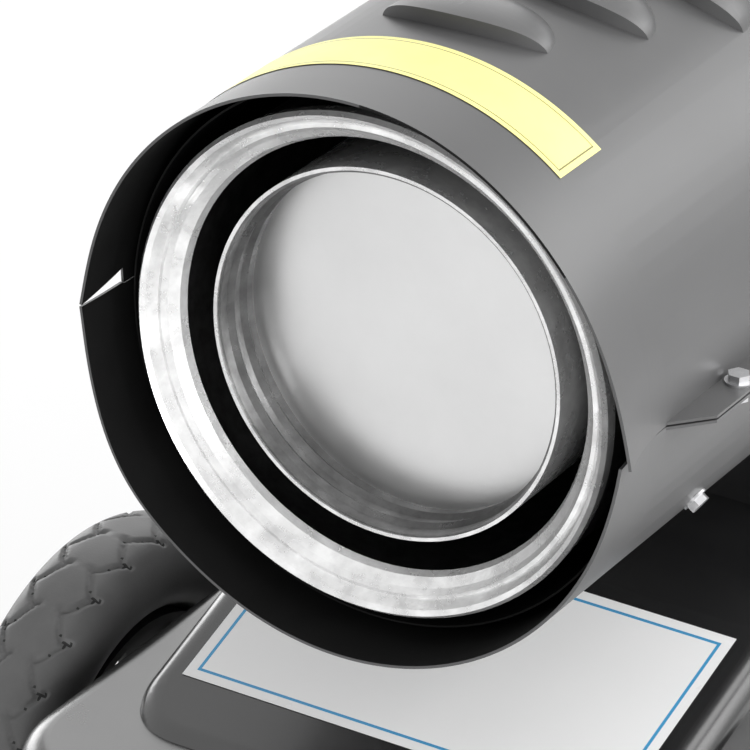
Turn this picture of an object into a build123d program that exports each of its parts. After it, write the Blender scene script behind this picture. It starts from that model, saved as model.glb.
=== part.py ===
from build123d import *
from math import cos, radians, sin, sqrt
import os

# Indirect-fired oil heater: a round hot-air barrel on a low fuel tank with two wheels.
# The frame has +Z up, the hot-air outlet facing -Y, and its origin on the floor
# under the middle of the whole heater. Lengths named "..._y" are measured from the
# outlet's edge towards the rear. All sizes are in millimetres.

# Barrel casing
shell_r = 118.0
sheet = 1.2
barrel_len = 620.0
seam_gap = 0.8
flange_w = 13.0
flange_start = 40.0
flange_inset = 20.0
seam_screw_first = 85.0
seam_screws_each_side = 5
seam_screw_inset = 6.5
drain_hole_r = 1.5
drain_hole_y = 10.0
upper_hole_angle = 44.0
lower_hole_angle = 225.0
side_screw_y = 106.0
side_screw_angles = (-34.0, 214.0)

# Crescent louvres pressed out of the upper shell, each turned a little from the last
louvre_first_y = 79.0
louvre_pitch = 47.0
louvre_first_turn = -2.0
louvre_turn = 9.5
louvre_half_w = 37.0
louvre_bow = 11.0
louvre_back = 30.0
louvre_rise = 7.5
louvre_root = 8.0

# Sleeve, liner and the rolled front ring round the hot-air gap
inner_sheet = 0.8
sleeve_room = 4.3
sleeve_start = 27.0
liner_room = 9.2
liner_start = 20.0
liner_past_drum = 35.0
ring_lip_lap = 1.8
ring_lip_y = 17.0
ring_band_w = 12.5
ring_throat_y = 29.0

# Heat exchanger with its closed front
air_gap = 12.5
drum_wall = 1.5
drum_start = 30.0
front_cap_depth = 23.0
front_cap_sheet = 1.0
front_cap_gap = 0.1
front_cap_bead = 1.7
flame_gap = 25.5
flame_tube_start = 115.0
flue_r = 50.0
flue_wall = 1.2
flue_inset = 70.0
flue_rise = 78.0
flue_bead = 1.5
flue_bead_h = 3.0
flue_collar_w = 16.0
flue_collar_h = 12.0

# Burner
blast_r = 38.0
blast_len = 43.0
blast_flange_r = 48.0
burner_hole_r = 36.0
diffuser_t = 1.5
diffuser_hole_r = 17.0
diffuser_slot_pcr = 26.0
nozzle_r = 7.0
spider_t = 2.0
spider_inset = 12.0
spider_hub_r = 22.0
electrode_off = 14.0
electrode_r = 3.0
photocell_r = 5.0
photocell_drop = 16.0

# Fan, motor and pump on one shaft
shaft_r = 5.0
bearing_clearance = 0.05
fan_to_burner = 25.5
fan_depth = 35.0
fan_room = 18.8
fan_hub_r = 22.0
fan_blades = 5
fan_blade_pitch = 32.0
fan_blade_t = 2.0
fan_blade_root = 4.0
fan_chord = 52.0
motor_r = 46.0
fan_to_motor = 52.0
motor_to_end = 138.0
motor_len = 68.0
pump_r = 27.0
pump_len = 36.0
pump_port_back = 18.0
fuel_pipe_r = 3.0
nozzle_pipe_r = 2.5
nozzle_line_room = 8.8
nozzle_line_to_fan = 13.0
guard_wire = 3.0
guard_inset = 12.0
guard_rings = 6
guard_spokes = 8

# Wheels and axle
wheel_r = 108.0
tyre_w = 44.0
tyre_bead_r = 70.0
tyre_shoulder = 13.0
wheel_inner_x = 158.0
axle_r = 7.0
axle_y = 118.0
axle_drop = 281.0
bracket_in_x = 84.0
bracket_out_x = 124.0
bracket_len = 44.0
bracket_foot = 10.0
bracket_t = 3.0
axle_sleeve_wall = 3.0
hub_overhang = 6.0
hub_wall = 9.0
hub_cap_wall = 2.0
rim_web_t = 5.0
rim_window_r = 10.0
rim_window_pcr = 43.0
rim_windows = 5
washer_t = 1.5
washer_r = 13.0
push_nut_t = 5.0
push_nut_r = 11.0
wheel_gap = 0.3

# Fuel tank in two pressed halves with a raised, sloping top
tank_half_w = 147.0
tank_front_y = -35.0
tank_corner_r = 50.0
tank_edge_r = 12.0
shoulder_below_barrel = 77.0
tank_clear_axle = 7.0
tank_seam_up = 28.0
tank_wall = 1.5
tank_flange = 5.0
raised_half_w = 116.0
raised_front_y = 20.0
raised_inset = 18.0
raised_flat_y = 156.0
raised_below_barrel = 29.0
raised_edge_r = 11.0
raised_corner_r = 30.0

# Filler, drain and suction
filler_x = 78.0
filler_to_box = 54.0
neck_r = 20.0
neck_wall = 1.5
neck_h = 14.0
filler_cap_r = 26.0
filler_cap_h = 20.0
drain_x = 60.0
drain_inset = 140.0
strainer_r = 9.0
strainer_h = 18.0

# Barrel supports
saddle_half_w = 62.0
saddle_to_filler = 100.0
saddle_len = 36.0
support_sheet = 2.0
seat_gap = 0.3

# Control box and its panel on the near side
box_half_w = 95.0
box_inset = 12.0
box_len = 186.0
box_sheet = 1.2
box_lap = 6.0
panel_inset = 14.0
panel_len = 158.0
panel_low = 8.0
panel_h = 58.0
panel_t = 2.0
panel_corner_r = 4.0
panel_lap = 9.5
panel_screw_inset = 6.5
switch_along = 22.0
switch_w = 22.0
switch_h = 28.0
switch_lip = 2.0
rocker_w = 16.0
rocker_h = 22.0
rocker_pin_r = 1.5
rocker_pin_depth = 2.5
rocker_rest_tilt = 7.0
knob_along = 72.0
knob_r = 16.0
knob_h = 14.0
knob_flute_r = 1.8
knob_shaft_r = 3.0
reset_along = 112.0
reset_drop = 13.0
reset_r = 5.0
reset_travel = 2.5
lamp_r = 4.5
gland_along = 140.0
gland_r = 9.0
gland_body_r = 7.0
gland_bore_r = 4.0
gland_len = 22.0
transformer_size = (40.0, 60.0, 32.0)
control_unit_size = (40.0, 72.0, 26.0)

# Handle along both sides of the tank
handle_r = 11.0
handle_wall = 1.5
handle_x = 131.0
handle_lap = 170.0
handle_bend_out = 8.0
handle_reach = 120.0
handle_bar_rise = 205.0
handle_bend_r = 50.0
grip_r = 15.0
grip_len = 68.0
grip_x = 40.0
clip_t = 2.0
clip_len = 20.0
clip_insets = (145.0, 45.0)

# Rear stand
stand_r = 9.0
stand_wall = 1.5
stand_x = 112.0
stand_inset = 75.0
stand_rake = 30.0
stand_bend_r = 45.0
stand_plate = 40.0
foot_r = 12.0
foot_len = 36.0
foot_x = 44.0
foot_flat = 0.5

# Fasteners
screw_r = 2.4
screw_af = 8.0
screw_flange_r = 5.6
screw_flange_t = 1.0
screw_head_h = 4.0
screw_hole_r = 2.6
side_screw_len = 5.0
panel_screw_len = 6.0
nut_h = 4.0

# Radii worked out from the casing inwards
shell_inner_r = shell_r - sheet
sleeve_r = shell_inner_r - sleeve_room
sleeve_inner_r = sleeve_r - inner_sheet
liner_r = sleeve_inner_r - liner_room
liner_inner_r = liner_r - inner_sheet
ring_lip_r = liner_r + ring_lip_lap
ring_throat_r = liner_r - ring_band_w
drum_r = ring_throat_r - air_gap
flame_tube_r = drum_r - flame_gap
fan_tip_r = shell_inner_r - fan_room
nozzle_line_r = shell_inner_r - nozzle_line_room

# Places along the barrel, worked out from its rear end forwards
motor_y = barrel_len - motor_to_end
pump_y = motor_y + motor_len
suction_y = pump_y + pump_port_back
fan_y = motor_y - fan_to_motor
nozzle_line_y = fan_y - nozzle_line_to_fan
blast_end = fan_y - fan_to_burner
blast_y = blast_end - blast_len
drum_end = blast_y - drum_wall
liner_end = drum_end + liner_past_drum
flue_y = drum_end - flue_inset
flange_end = barrel_len - flange_inset
louvre_len = louvre_bow + louvre_back
louvre_room = flue_y - flue_r - flue_collar_w - louvre_len - louvre_first_y
louvre_count = int(louvre_room / louvre_pitch) + 1

# Places along the tank, which ends under the barrel's rear end
tank_rear_y = barrel_len
raised_rear_y = tank_rear_y - raised_inset
box_y = raised_rear_y - box_inset - box_len
panel_y = box_y + panel_inset
switch_y = panel_y + switch_along
knob_y = panel_y + knob_along
reset_y = panel_y + reset_along
gland_y = panel_y + gland_along
filler_y = box_y - filler_to_box
saddle_y = filler_y - saddle_to_filler
drain_y = tank_rear_y - drain_inset
handle_start_y = tank_rear_y - handle_lap
handle_bend_y = tank_rear_y + handle_bend_out
handle_bar_y = tank_rear_y + handle_reach
clip_ys = [tank_rear_y - inset for inset in clip_insets]
stand_top_y = tank_rear_y - stand_inset
stand_foot_y = stand_top_y + stand_rake

# Heights, and the outlet's place in the frame
front_reach = tank_front_y - tank_flange
rear_reach = handle_bar_y + grip_r
outlet_y = -(front_reach + rear_reach) / 2
axle_z = wheel_r
axis_z = wheel_r + axle_drop
shoulder_z = axis_z - shell_r - shoulder_below_barrel
raised_z = axis_z - shell_r - raised_below_barrel
tank_floor_z = axle_z + axle_r + tank_clear_axle
tank_seam_z = tank_floor_z + tank_seam_up

os.makedirs("parts", exist_ok=True)


def barrel_plane(y):
    # x runs to the right, y runs up, and the plane faces the outlet
    return Plane(origin=(0, outlet_y + y, axis_z), x_dir=(1, 0, 0), z_dir=(0, -1, 0))


def side_plane(x, y, z):
    # faces +X, with x running to the rear and y running up
    return Plane(origin=(x, outlet_y + y, z), x_dir=(0, 1, 0), z_dir=(1, 0, 0))


def floor_plane(x, y, z):
    return Plane(origin=(x, outlet_y + y, z))


def ring(start, end, outer, inner):
    with BuildSketch(barrel_plane(start)) as section:
        Circle(outer)
        Circle(inner, mode=Mode.SUBTRACT)
    extrude(section.sketch, amount=start - end)


def disc(start, end, radius, mode=Mode.ADD):
    with BuildSketch(barrel_plane(start)) as section:
        Circle(radius)
    extrude(section.sketch, amount=start - end, mode=mode)


def block(x, y, z, mode=Mode.ADD):
    # a box from its lowest and highest values along each axis
    centre = ((x[0] + x[1]) / 2, outlet_y + (y[0] + y[1]) / 2, (z[0] + z[1]) / 2)
    with Locations(centre):
        Box(x[1] - x[0], y[1] - y[0], z[1] - z[0], mode=mode)


def post(x, y, z, radius, mode=Mode.ADD):
    # an upright cylinder from z[0] to z[1]
    with Locations((x, outlet_y + y, z[0])):
        Cylinder(radius, z[1] - z[0], align=(Align.CENTER, Align.CENTER, Align.MIN), mode=mode)


def crosswise(x, y, z, radius, mode=Mode.ADD):
    # a cylinder along X from x[0] to x[1]
    with BuildSketch(side_plane(x[0], y, z)) as section:
        Circle(radius)
    extrude(section.sketch, amount=x[1] - x[0], mode=mode)


def clear_barrel(gap):
    # takes away the space that the barrel needs
    disc(-1, barrel_len + 1, shell_r + gap, Mode.SUBTRACT)


def spokes(start, length, width, inner, outer, angles):
    # flat radial pieces whose outer corners meet the round wall outside them
    reach = sqrt(outer**2 - width**2 / 4)
    middle = (inner + reach) / 2
    for angle in angles:
        with BuildSketch(barrel_plane(start)) as section:
            with Locations((middle * cos(radians(angle)), middle * sin(radians(angle)))):
                Rectangle(reach - inner, width, rotation=angle)
        extrude(section.sketch, amount=-length)


def radial_hole(angle, y, radius):
    # a hole through one side of the barrel, its angle counted up from +X
    aim = (cos(radians(angle)), 0, sin(radians(angle)))
    hole_plane = Plane(origin=(0, outlet_y + y, axis_z), x_dir=(0, 1, 0), z_dir=aim)
    with BuildSketch(hole_plane) as section:
        Circle(radius)
    extrude(section.sketch, amount=2 * shell_r, mode=Mode.SUBTRACT)


def hex_head(af, height):
    with BuildSketch() as section:
        RegularPolygon(radius=af / 2, side_count=6, major_radius=False)
    extrude(section.sketch, amount=height)


def keep(builder, name):
    builder.part.label = name
    export_step(builder.part, "parts/" + name + ".step")


# A flanged hex screw, its head up and its shank going down from the seat
def flanged_screw(shank):
    with BuildPart() as screw:
        Cylinder(screw_flange_r, screw_flange_t, align=(Align.CENTER, Align.CENTER, Align.MIN))
        hex_head(screw_af, screw_head_h)
        Cylinder(screw_r, shank, align=(Align.CENTER, Align.CENTER, Align.MAX))
    return screw.part


# Upper and lower casing halves, with flanges that the seam screws clamp together
seam_screw_pitch = (flange_end - flange_start - 2 * (seam_screw_first - flange_start)) / (
    seam_screws_each_side - 1
)
seam_screw_ys = [seam_screw_first + seam_screw_pitch * i for i in range(seam_screws_each_side)]
seam_screw_x = shell_r + flange_w - seam_screw_inset
seam_spots = [(side * seam_screw_x, y) for side in (-1, 1) for y in seam_screw_ys]


def half_casing(side):
    with BuildSketch(barrel_plane(0)) as section:
        Circle(shell_r)
        Circle(shell_inner_r, mode=Mode.SUBTRACT)
        with Locations((0, -side * shell_r)):
            Rectangle(4 * shell_r, 2 * shell_r + seam_gap, mode=Mode.SUBTRACT)
    extrude(section.sketch, amount=-barrel_len)
    low = axis_z + side * seam_gap / 2
    high = low + side * sheet
    for edge in (-1, 1):
        x_near = edge * (shell_r - sheet / 2)
        x_far = edge * (shell_r + flange_w)
        block(sorted((x_near, x_far)), (flange_start, flange_end), sorted((low, high)))
    for x, y in seam_spots:
        post(x, y, sorted((low - side, high + side)), screw_hole_r, Mode.SUBTRACT)


def turned_louvre(i, shape):
    # from the top of the barrel to the place of louvre i
    turn = louvre_first_turn + louvre_turn * i
    shape = Pos(0, outlet_y + louvre_first_y + louvre_pitch * i, axis_z) * shape
    return shape.rotate(Axis((0, 0, axis_z), (0, 1, 0)), turn)


def louvre_dome(inset):
    # an ellipsoid cut off in front by an upright, bowed face
    height = louvre_root + louvre_rise - inset
    dome = scale(Sphere(1), by=(louvre_half_w - inset, louvre_back - inset, height))
    dome = Pos(0, louvre_bow, shell_r - louvre_root) * dome
    front = Pos(0, louvre_front_r, shell_r) * Cylinder(louvre_front_r - inset, 4 * height)
    return dome & front


louvre_front_r = (louvre_half_w**2 + louvre_bow**2) / (2 * louvre_bow)
louvre_numbers = range(louvre_count)
louvre_skins = [turned_louvre(i, louvre_dome(0)) for i in louvre_numbers]
louvre_hollows = [turned_louvre(i, louvre_dome(sheet)) for i in louvre_numbers]

with BuildPart() as upper_shell:
    half_casing(1)
    for skin in louvre_skins:
        add(skin)
    disc(-1, barrel_len + 1, shell_inner_r, Mode.SUBTRACT)
    for hollow in louvre_hollows:
        add(hollow, mode=Mode.SUBTRACT)
    post(0, flue_y, (axis_z, axis_z + 2 * shell_r), flue_r + seat_gap, Mode.SUBTRACT)
    radial_hole(upper_hole_angle, drain_hole_y, drain_hole_r)
keep(upper_shell, "upper_shell")

with BuildPart() as lower_shell:
    half_casing(-1)
    radial_hole(lower_hole_angle, drain_hole_y, drain_hole_r)
    for angle in side_screw_angles:
        radial_hole(angle, side_screw_y, screw_r)
    post(0, suction_y, (axis_z - 2 * shell_r, axis_z), 2 * fuel_pipe_r, Mode.SUBTRACT)
keep(lower_shell, "lower_shell")

# Black sleeve inside the casing and the bright liner inside the sleeve
with BuildPart() as inner_sleeve:
    ring(sleeve_start, liner_end, sleeve_r, sleeve_inner_r)
    post(0, flue_y, (axis_z, axis_z + shell_r), flue_r + seat_gap, Mode.SUBTRACT)
keep(inner_sleeve, "inner_sleeve")

with BuildPart() as air_liner:
    ring(liner_start, liner_end, liner_r, liner_inner_r)
    post(0, flue_y, (axis_z, axis_z + shell_r), flue_r + seat_gap, Mode.SUBTRACT)
keep(air_liner, "air_liner")

# Small blocks that hold the sleeve in the casing and the liner in the sleeve
spacer_stations = (110.0, drum_end - 30)
spacer_len = 14.0
spacer_w = 12.0
spacer_angles = (35.0, 145.0, 215.0, 325.0)

with BuildPart() as casing_spacers:
    for y in spacer_stations:
        spokes(y, spacer_len, spacer_w, sleeve_r - 1, shell_inner_r, spacer_angles)
    disc(-1, barrel_len, sleeve_r, Mode.SUBTRACT)
    for y in spacer_stations:
        spokes(y, spacer_len, spacer_w, liner_r - 1, sleeve_inner_r, spacer_angles)
    disc(-1, barrel_len, liner_r, Mode.SUBTRACT)
keep(casing_spacers, "casing_spacers")

# Rolled front ring: a lip over the liner's end, a bead, and a broad throat
with BuildPart() as front_ring:
    with BuildSketch(Plane.YZ):
        with BuildLine():
            Polyline(
                (outlet_y + ring_lip_y + 8, axis_z + liner_r + 1.2),
                (outlet_y + ring_lip_y + 1.5, axis_z + ring_lip_r),
                (outlet_y + ring_lip_y, axis_z + ring_lip_r - 1.2),
                (outlet_y + ring_lip_y + 1.2, axis_z + ring_lip_r - 2.8),
                (outlet_y + ring_lip_y + 5.5, axis_z + ring_lip_r - 6.0),
                (outlet_y + ring_lip_y + 5.0, axis_z + ring_lip_r - 7.6),
                (outlet_y + ring_lip_y + 7.2, axis_z + ring_lip_r - 9.4),
                (outlet_y + ring_throat_y - 1.5, axis_z + ring_throat_r + 1.5),
                (outlet_y + ring_throat_y + 1.5, axis_z + ring_throat_r),
            )
        trace(line_width=inner_sheet)
    revolve(axis=Axis((0, 0, axis_z), (0, 1, 0)))
keep(front_ring, "front_ring")

# Heat exchanger drum with its end plates and the flame tube inside it
with BuildPart() as exchanger_drum:
    ring(drum_start, drum_end, drum_r, drum_r - drum_wall)
    post(0, flue_y, (axis_z, axis_z + drum_r + 1), flue_r - flue_wall, Mode.SUBTRACT)
keep(exchanger_drum, "exchanger_drum")

cap_z = axis_z + drum_r - drum_wall - front_cap_sheet / 2 - front_cap_gap
cap_start = outlet_y + drum_start + 1
cap_floor = cap_start + front_cap_depth

with BuildPart() as chamber_front:
    with BuildSketch(Plane.YZ):
        with BuildLine():
            Polyline(
                (cap_start, cap_z),
                (cap_start + 5, cap_z),
                (cap_start + 7.5, cap_z - front_cap_bead),
                (cap_start + 10, cap_z),
                (cap_start + 14, cap_z),
                (cap_start + 16.5, cap_z - front_cap_bead),
                (cap_start + 19, cap_z),
                (cap_floor, cap_z - 1),
                (cap_floor, axis_z),
            )
        trace(line_width=front_cap_sheet)
    revolve(axis=Axis((0, 0, axis_z), (0, 1, 0)))
keep(chamber_front, "chamber_front")

with BuildPart() as rear_plate:
    disc(drum_end, drum_end + drum_wall, drum_r)
    disc(drum_end - 1, drum_end + drum_wall + 1, burner_hole_r, Mode.SUBTRACT)
keep(rear_plate, "rear_plate")

with BuildPart() as flame_tube:
    ring(flame_tube_start, drum_end, flame_tube_r, flame_tube_r - drum_wall)
keep(flame_tube, "flame_tube")

drum_support_angles = (-3.0, 123.0, 229.0)
drum_support_len = 18.0
drum_support_t = 3.0
with BuildPart() as drum_supports:
    for y in (spacer_stations[0], flue_y - flue_r):
        spokes(y, drum_support_len, drum_support_t, drum_r - 1, liner_inner_r - 0.1, drum_support_angles)
    disc(-1, barrel_len, drum_r, Mode.SUBTRACT)
keep(drum_supports, "drum_supports")

# Flue spigot through all walls, and its collar on the casing
flue_top_z = axis_z + shell_r + flue_rise
flue_bead_z = axis_z + shell_r + flue_collar_h + 1
with BuildPart() as flue_pipe:
    post(0, flue_y, (axis_z, flue_top_z), flue_r)
    post(0, flue_y, (flue_bead_z, flue_bead_z + flue_bead_h), flue_r + flue_bead)
    post(0, flue_y, (axis_z - 1, flue_top_z + 1), flue_r - flue_wall, Mode.SUBTRACT)
    disc(-1, barrel_len, drum_r, Mode.SUBTRACT)
keep(flue_pipe, "flue_pipe")

with BuildPart() as flue_collar:
    collar_sheet_r = flue_r + seat_gap + sheet
    saddle_out = shell_r + seat_gap + sheet
    post(0, flue_y, (axis_z, axis_z + saddle_out + 2 * flue_r), flue_r + flue_collar_w)
    disc(-1, barrel_len, saddle_out, Mode.INTERSECT)
    post(0, flue_y, (axis_z + shell_r / 2, axis_z + shell_r + flue_collar_h), collar_sheet_r)
    clear_barrel(seat_gap)
    post(0, flue_y, (axis_z, flue_top_z), flue_r + seat_gap / 3, Mode.SUBTRACT)
keep(flue_collar, "flue_collar")

# Burner: blast tube, diffuser, spider, nozzle, electrodes and photocell
spider_y = blast_end - spider_inset

with BuildPart() as blast_tube:
    ring(blast_y, blast_y + sheet, blast_flange_r, blast_r - drum_wall)
    ring(blast_y, blast_end, blast_r, blast_r - drum_wall)
keep(blast_tube, "blast_tube")

with BuildPart() as diffuser:
    disc(blast_y + 8, blast_y + 8 + diffuser_t, blast_r - drum_wall - 0.1)
    disc(blast_y, blast_y + 20, diffuser_hole_r, Mode.SUBTRACT)
    with BuildSketch(barrel_plane(blast_y)):
        with PolarLocations(diffuser_slot_pcr, 8):
            SlotOverall(12, 4)
    extrude(amount=-20, mode=Mode.SUBTRACT)
keep(diffuser, "diffuser")

with BuildPart() as nozzle_holder:
    disc(blast_y + 14, blast_end, nozzle_r + 2)
    with BuildSketch(barrel_plane(blast_y + 14)):
        RegularPolygon(radius=nozzle_r, side_count=6)
    extrude(amount=6)
    with BuildSketch(barrel_plane(blast_y + 8)):
        Circle(nozzle_r - 1)
    extrude(amount=5, taper=35)
keep(nozzle_holder, "nozzle_holder")

with BuildPart() as burner_spider:
    disc(spider_y, spider_y + spider_t, spider_hub_r)
    spokes(spider_y, spider_t, 8.0, spider_hub_r - 2, blast_r - drum_wall - 0.1, (30, 150, 270))
    disc(spider_y - 1, spider_y + spider_t + 1, nozzle_r + 2, Mode.SUBTRACT)
    with BuildSketch(barrel_plane(spider_y - 1)):
        with Locations((electrode_off, 4), (-electrode_off, 4)):
            Circle(electrode_r)
        with Locations((0, -photocell_drop)):
            Circle(photocell_r)
    extrude(amount=-(spider_t + 2), mode=Mode.SUBTRACT)
keep(burner_spider, "burner_spider")

with BuildPart() as electrodes:
    with BuildSketch(barrel_plane(blast_y + 12)):
        with Locations((electrode_off, 4), (-electrode_off, 4)):
            Circle(electrode_r)
    extrude(amount=-(blast_len - 8))
    with BuildSketch(barrel_plane(blast_y + 3)):
        with Locations((electrode_off, 4), (-electrode_off, 4)):
            Circle(1.0)
    extrude(amount=-10)
keep(electrodes, "electrodes")

with BuildPart() as photocell:
    with BuildSketch(barrel_plane(spider_y - 6)):
        with Locations((0, -photocell_drop)):
            Circle(photocell_r)
    extrude(amount=-22)
keep(photocell, "photocell")

# Axial fan and the shaft that also turns the pump
with BuildPart() as fan:
    disc(fan_y, fan_y + fan_depth, fan_hub_r)
    for i in range(fan_blades):
        turn = Location((0, outlet_y + fan_y + fan_depth / 2, axis_z), (0, 360 / fan_blades * i, 0))
        middle = (fan_tip_r + fan_hub_r - fan_blade_root) / 2
        with Locations(turn * Location((middle, 0, 0), (fan_blade_pitch, 0, 0))):
            Box(fan_tip_r - fan_hub_r + fan_blade_root, fan_blade_t, fan_chord)
    disc(fan_y - 1, fan_y + fan_depth + 1, shaft_r, Mode.SUBTRACT)
keep(fan, "fan")

with BuildPart() as motor_shaft:
    disc(fan_y - 6, pump_y + 12, shaft_r)
keep(motor_shaft, "motor_shaft")

with BuildPart() as motor:
    disc(motor_y, pump_y, motor_r)
    with BuildSketch(barrel_plane(motor_y + 12)):
        with PolarLocations(motor_r, 24):
            Rectangle(4, 3)
    extrude(amount=-(motor_len - 24), mode=Mode.SUBTRACT)
    disc(motor_y - 4, motor_y, fan_hub_r - 4)
    disc(motor_y - 5, pump_y + 1, shaft_r + bearing_clearance, Mode.SUBTRACT)
keep(motor, "motor")

with BuildPart() as motor_bracket:
    ring(motor_y + 2, motor_y + 8, motor_r + 5, motor_r)
    spokes(motor_y + 2, 3.0, 16.0, motor_r + 3, shell_inner_r - 0.1, (45, 135, 225, 315))
keep(motor_bracket, "motor_bracket")

with BuildPart() as fuel_pump:
    disc(pump_y, pump_y + pump_len, pump_r)
    post(0, suction_y, (axis_z - pump_r - 6, axis_z), 6.0)
    post(nozzle_pipe_r + 8, suction_y, (axis_z - pump_r - 4, axis_z), 5.0)
    disc(pump_y - 1, pump_y + 14, shaft_r + bearing_clearance, Mode.SUBTRACT)
keep(fuel_pump, "fuel_pump")

with BuildPart() as solenoid_valve:
    post(0, suction_y, (axis_z + pump_r - 1, axis_z + pump_r + 26), 11.0)
    disc(0, barrel_len, pump_r, Mode.SUBTRACT)
keep(solenoid_valve, "solenoid_valve")

# Suction pipe down to the strainer in the tank
strainer_low = tank_floor_z + tank_wall + 3
with BuildPart() as suction_pipe:
    post(0, suction_y, (strainer_low + strainer_h, axis_z - pump_r - 6), fuel_pipe_r)
    post(0, suction_y, (strainer_low, strainer_low + strainer_h), strainer_r)
keep(suction_pipe, "suction_pipe")

# Pressure line round the outside of the fan to the nozzle holder
line_angle = radians(-62)
line_x = nozzle_line_r * cos(line_angle)
line_z = axis_z + nozzle_line_r * sin(line_angle)
port_x = nozzle_pipe_r + 8
with BuildPart() as nozzle_line:
    with BuildLine() as nozzle_path:
        FilletPolyline(
            (port_x, outlet_y + suction_y, axis_z - pump_r - 4),
            (port_x, outlet_y + suction_y, line_z),
            (line_x, outlet_y + suction_y - 30, line_z),
            (line_x, outlet_y + nozzle_line_y, line_z),
            (3, outlet_y + nozzle_line_y, axis_z - 3),
            (3, outlet_y + blast_end, axis_z - 3),
            radius=[14, 12, 14, 5],
        )
    with BuildSketch(Plane(origin=nozzle_path.line @ 0, z_dir=nozzle_path.line % 0)):
        Circle(nozzle_pipe_r)
    sweep()
keep(nozzle_line, "nozzle_line")

# Wire guard over the rear air intake
guard_y = barrel_len - guard_inset
guard_r = shell_inner_r - guard_wire / 2
with BuildPart() as rear_guard:
    for i in range(guard_rings):
        radius = guard_r - (guard_r - 14) / (guard_rings - 1) * i
        with Locations(Location((0, outlet_y + guard_y, axis_z), (90, 0, 0))):
            Torus(radius, guard_wire / 2)
    for i in range(guard_spokes):
        angle = 360 / guard_spokes * i
        with BuildSketch(barrel_plane(guard_y - 1)):
            with Locations((guard_r / 2 * cos(radians(angle)), guard_r / 2 * sin(radians(angle)))):
                Rectangle(guard_r, guard_wire, rotation=angle)
        extrude(amount=-2)
keep(rear_guard, "rear_guard")


# Tank halves: a wide shoulder box under a raised, sloping body
def plan_outline(half_w, front, rear, corner, level):
    with BuildSketch(floor_plane(0, (front + rear) / 2, level)) as outline:
        RectangleRounded(2 * half_w, rear - front, corner)
    return outline.sketch


def tank_box(inset, low, high):
    outline = plan_outline(
        tank_half_w - inset, tank_front_y + inset, tank_rear_y - inset, tank_corner_r - inset, low
    )
    extrude(outline, amount=high - low)


def raised_body(inset):
    # the plan outline stands up through the shoulder, then a side profile slopes its top
    with BuildPart() as body:
        outline = plan_outline(
            raised_half_w - inset,
            raised_front_y + inset,
            raised_rear_y - inset,
            raised_corner_r - inset,
            tank_seam_z,
        )
        extrude(outline, amount=raised_z - tank_seam_z)
        with BuildSketch(side_plane(-raised_half_w, 0, 0)):
            with BuildLine():
                Polyline(
                    (raised_front_y - 1, tank_seam_z - 1),
                    (raised_front_y - 1, shoulder_z + 3 - inset),
                    (raised_flat_y, raised_z - inset),
                    (raised_rear_y + 1, raised_z - inset),
                    (raised_rear_y + 1, tank_seam_z - 1),
                    close=True,
                )
            make_face()
        extrude(amount=2 * raised_half_w, mode=Mode.INTERSECT)
    return body.part


raised_outside = raised_body(0)
raised_inside = raised_body(tank_wall)

with BuildPart() as tank_hollow:
    tank_box(tank_wall, tank_seam_z - 1, shoulder_z - tank_wall)
    fillet(tank_hollow.faces().sort_by(Axis.Z)[-1].edges(), tank_edge_r - tank_wall)
    add(raised_inside)
    hollow_edges = tank_hollow.edges().filter_by(lambda e: e.center().Z > shoulder_z + 8)
    fillet(hollow_edges, raised_edge_r - tank_wall)

with BuildPart() as floor_hollow:
    tank_box(tank_wall, tank_floor_z + tank_wall, tank_seam_z + 1)
    fillet(floor_hollow.faces().sort_by(Axis.Z)[0].edges(), tank_edge_r - tank_wall)

flange_half_w = tank_half_w + tank_flange


def tank_rim(low, high):
    outline = plan_outline(
        flange_half_w, tank_front_y - tank_flange, tank_rear_y + tank_flange, tank_corner_r, low
    )
    extrude(outline, amount=high - low)


with BuildPart() as tank_upper:
    tank_box(0, tank_seam_z, shoulder_z)
    fillet(tank_upper.faces().sort_by(Axis.Z)[-1].edges(), tank_edge_r)
    add(raised_outside)
    raised_edges = tank_upper.edges().filter_by(lambda e: e.center().Z > shoulder_z + 8)
    fillet(raised_edges, raised_edge_r)
    tank_rim(tank_seam_z, tank_seam_z + tank_wall)
    add(tank_hollow.part, mode=Mode.SUBTRACT)
    post(filler_x, filler_y, (shoulder_z, raised_z + 1), neck_r, Mode.SUBTRACT)
    post(0, suction_y, (shoulder_z, raised_z + 1), fuel_pipe_r, Mode.SUBTRACT)
keep(tank_upper, "tank_upper")

with BuildPart() as tank_lower:
    tank_box(0, tank_floor_z, tank_seam_z)
    fillet(tank_lower.faces().sort_by(Axis.Z)[0].edges(), tank_edge_r)
    tank_rim(tank_seam_z - tank_wall, tank_seam_z)
    add(floor_hollow.part, mode=Mode.SUBTRACT)
    post(drain_x, drain_y, (tank_floor_z - 1, tank_floor_z + 2 * tank_wall), screw_r, Mode.SUBTRACT)
keep(tank_lower, "tank_lower")

# Filler neck, its quarter-turn cap, and the drain plug
neck_top = raised_z + neck_h
with BuildPart() as filler_neck:
    post(filler_x, filler_y, (raised_z - tank_wall, neck_top), neck_r)
    post(filler_x, filler_y, (raised_z, raised_z + sheet), neck_r + 4)
    post(filler_x, filler_y, (raised_z - 10, neck_top + 1), neck_r - neck_wall, Mode.SUBTRACT)
keep(filler_neck, "filler_neck")

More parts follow.
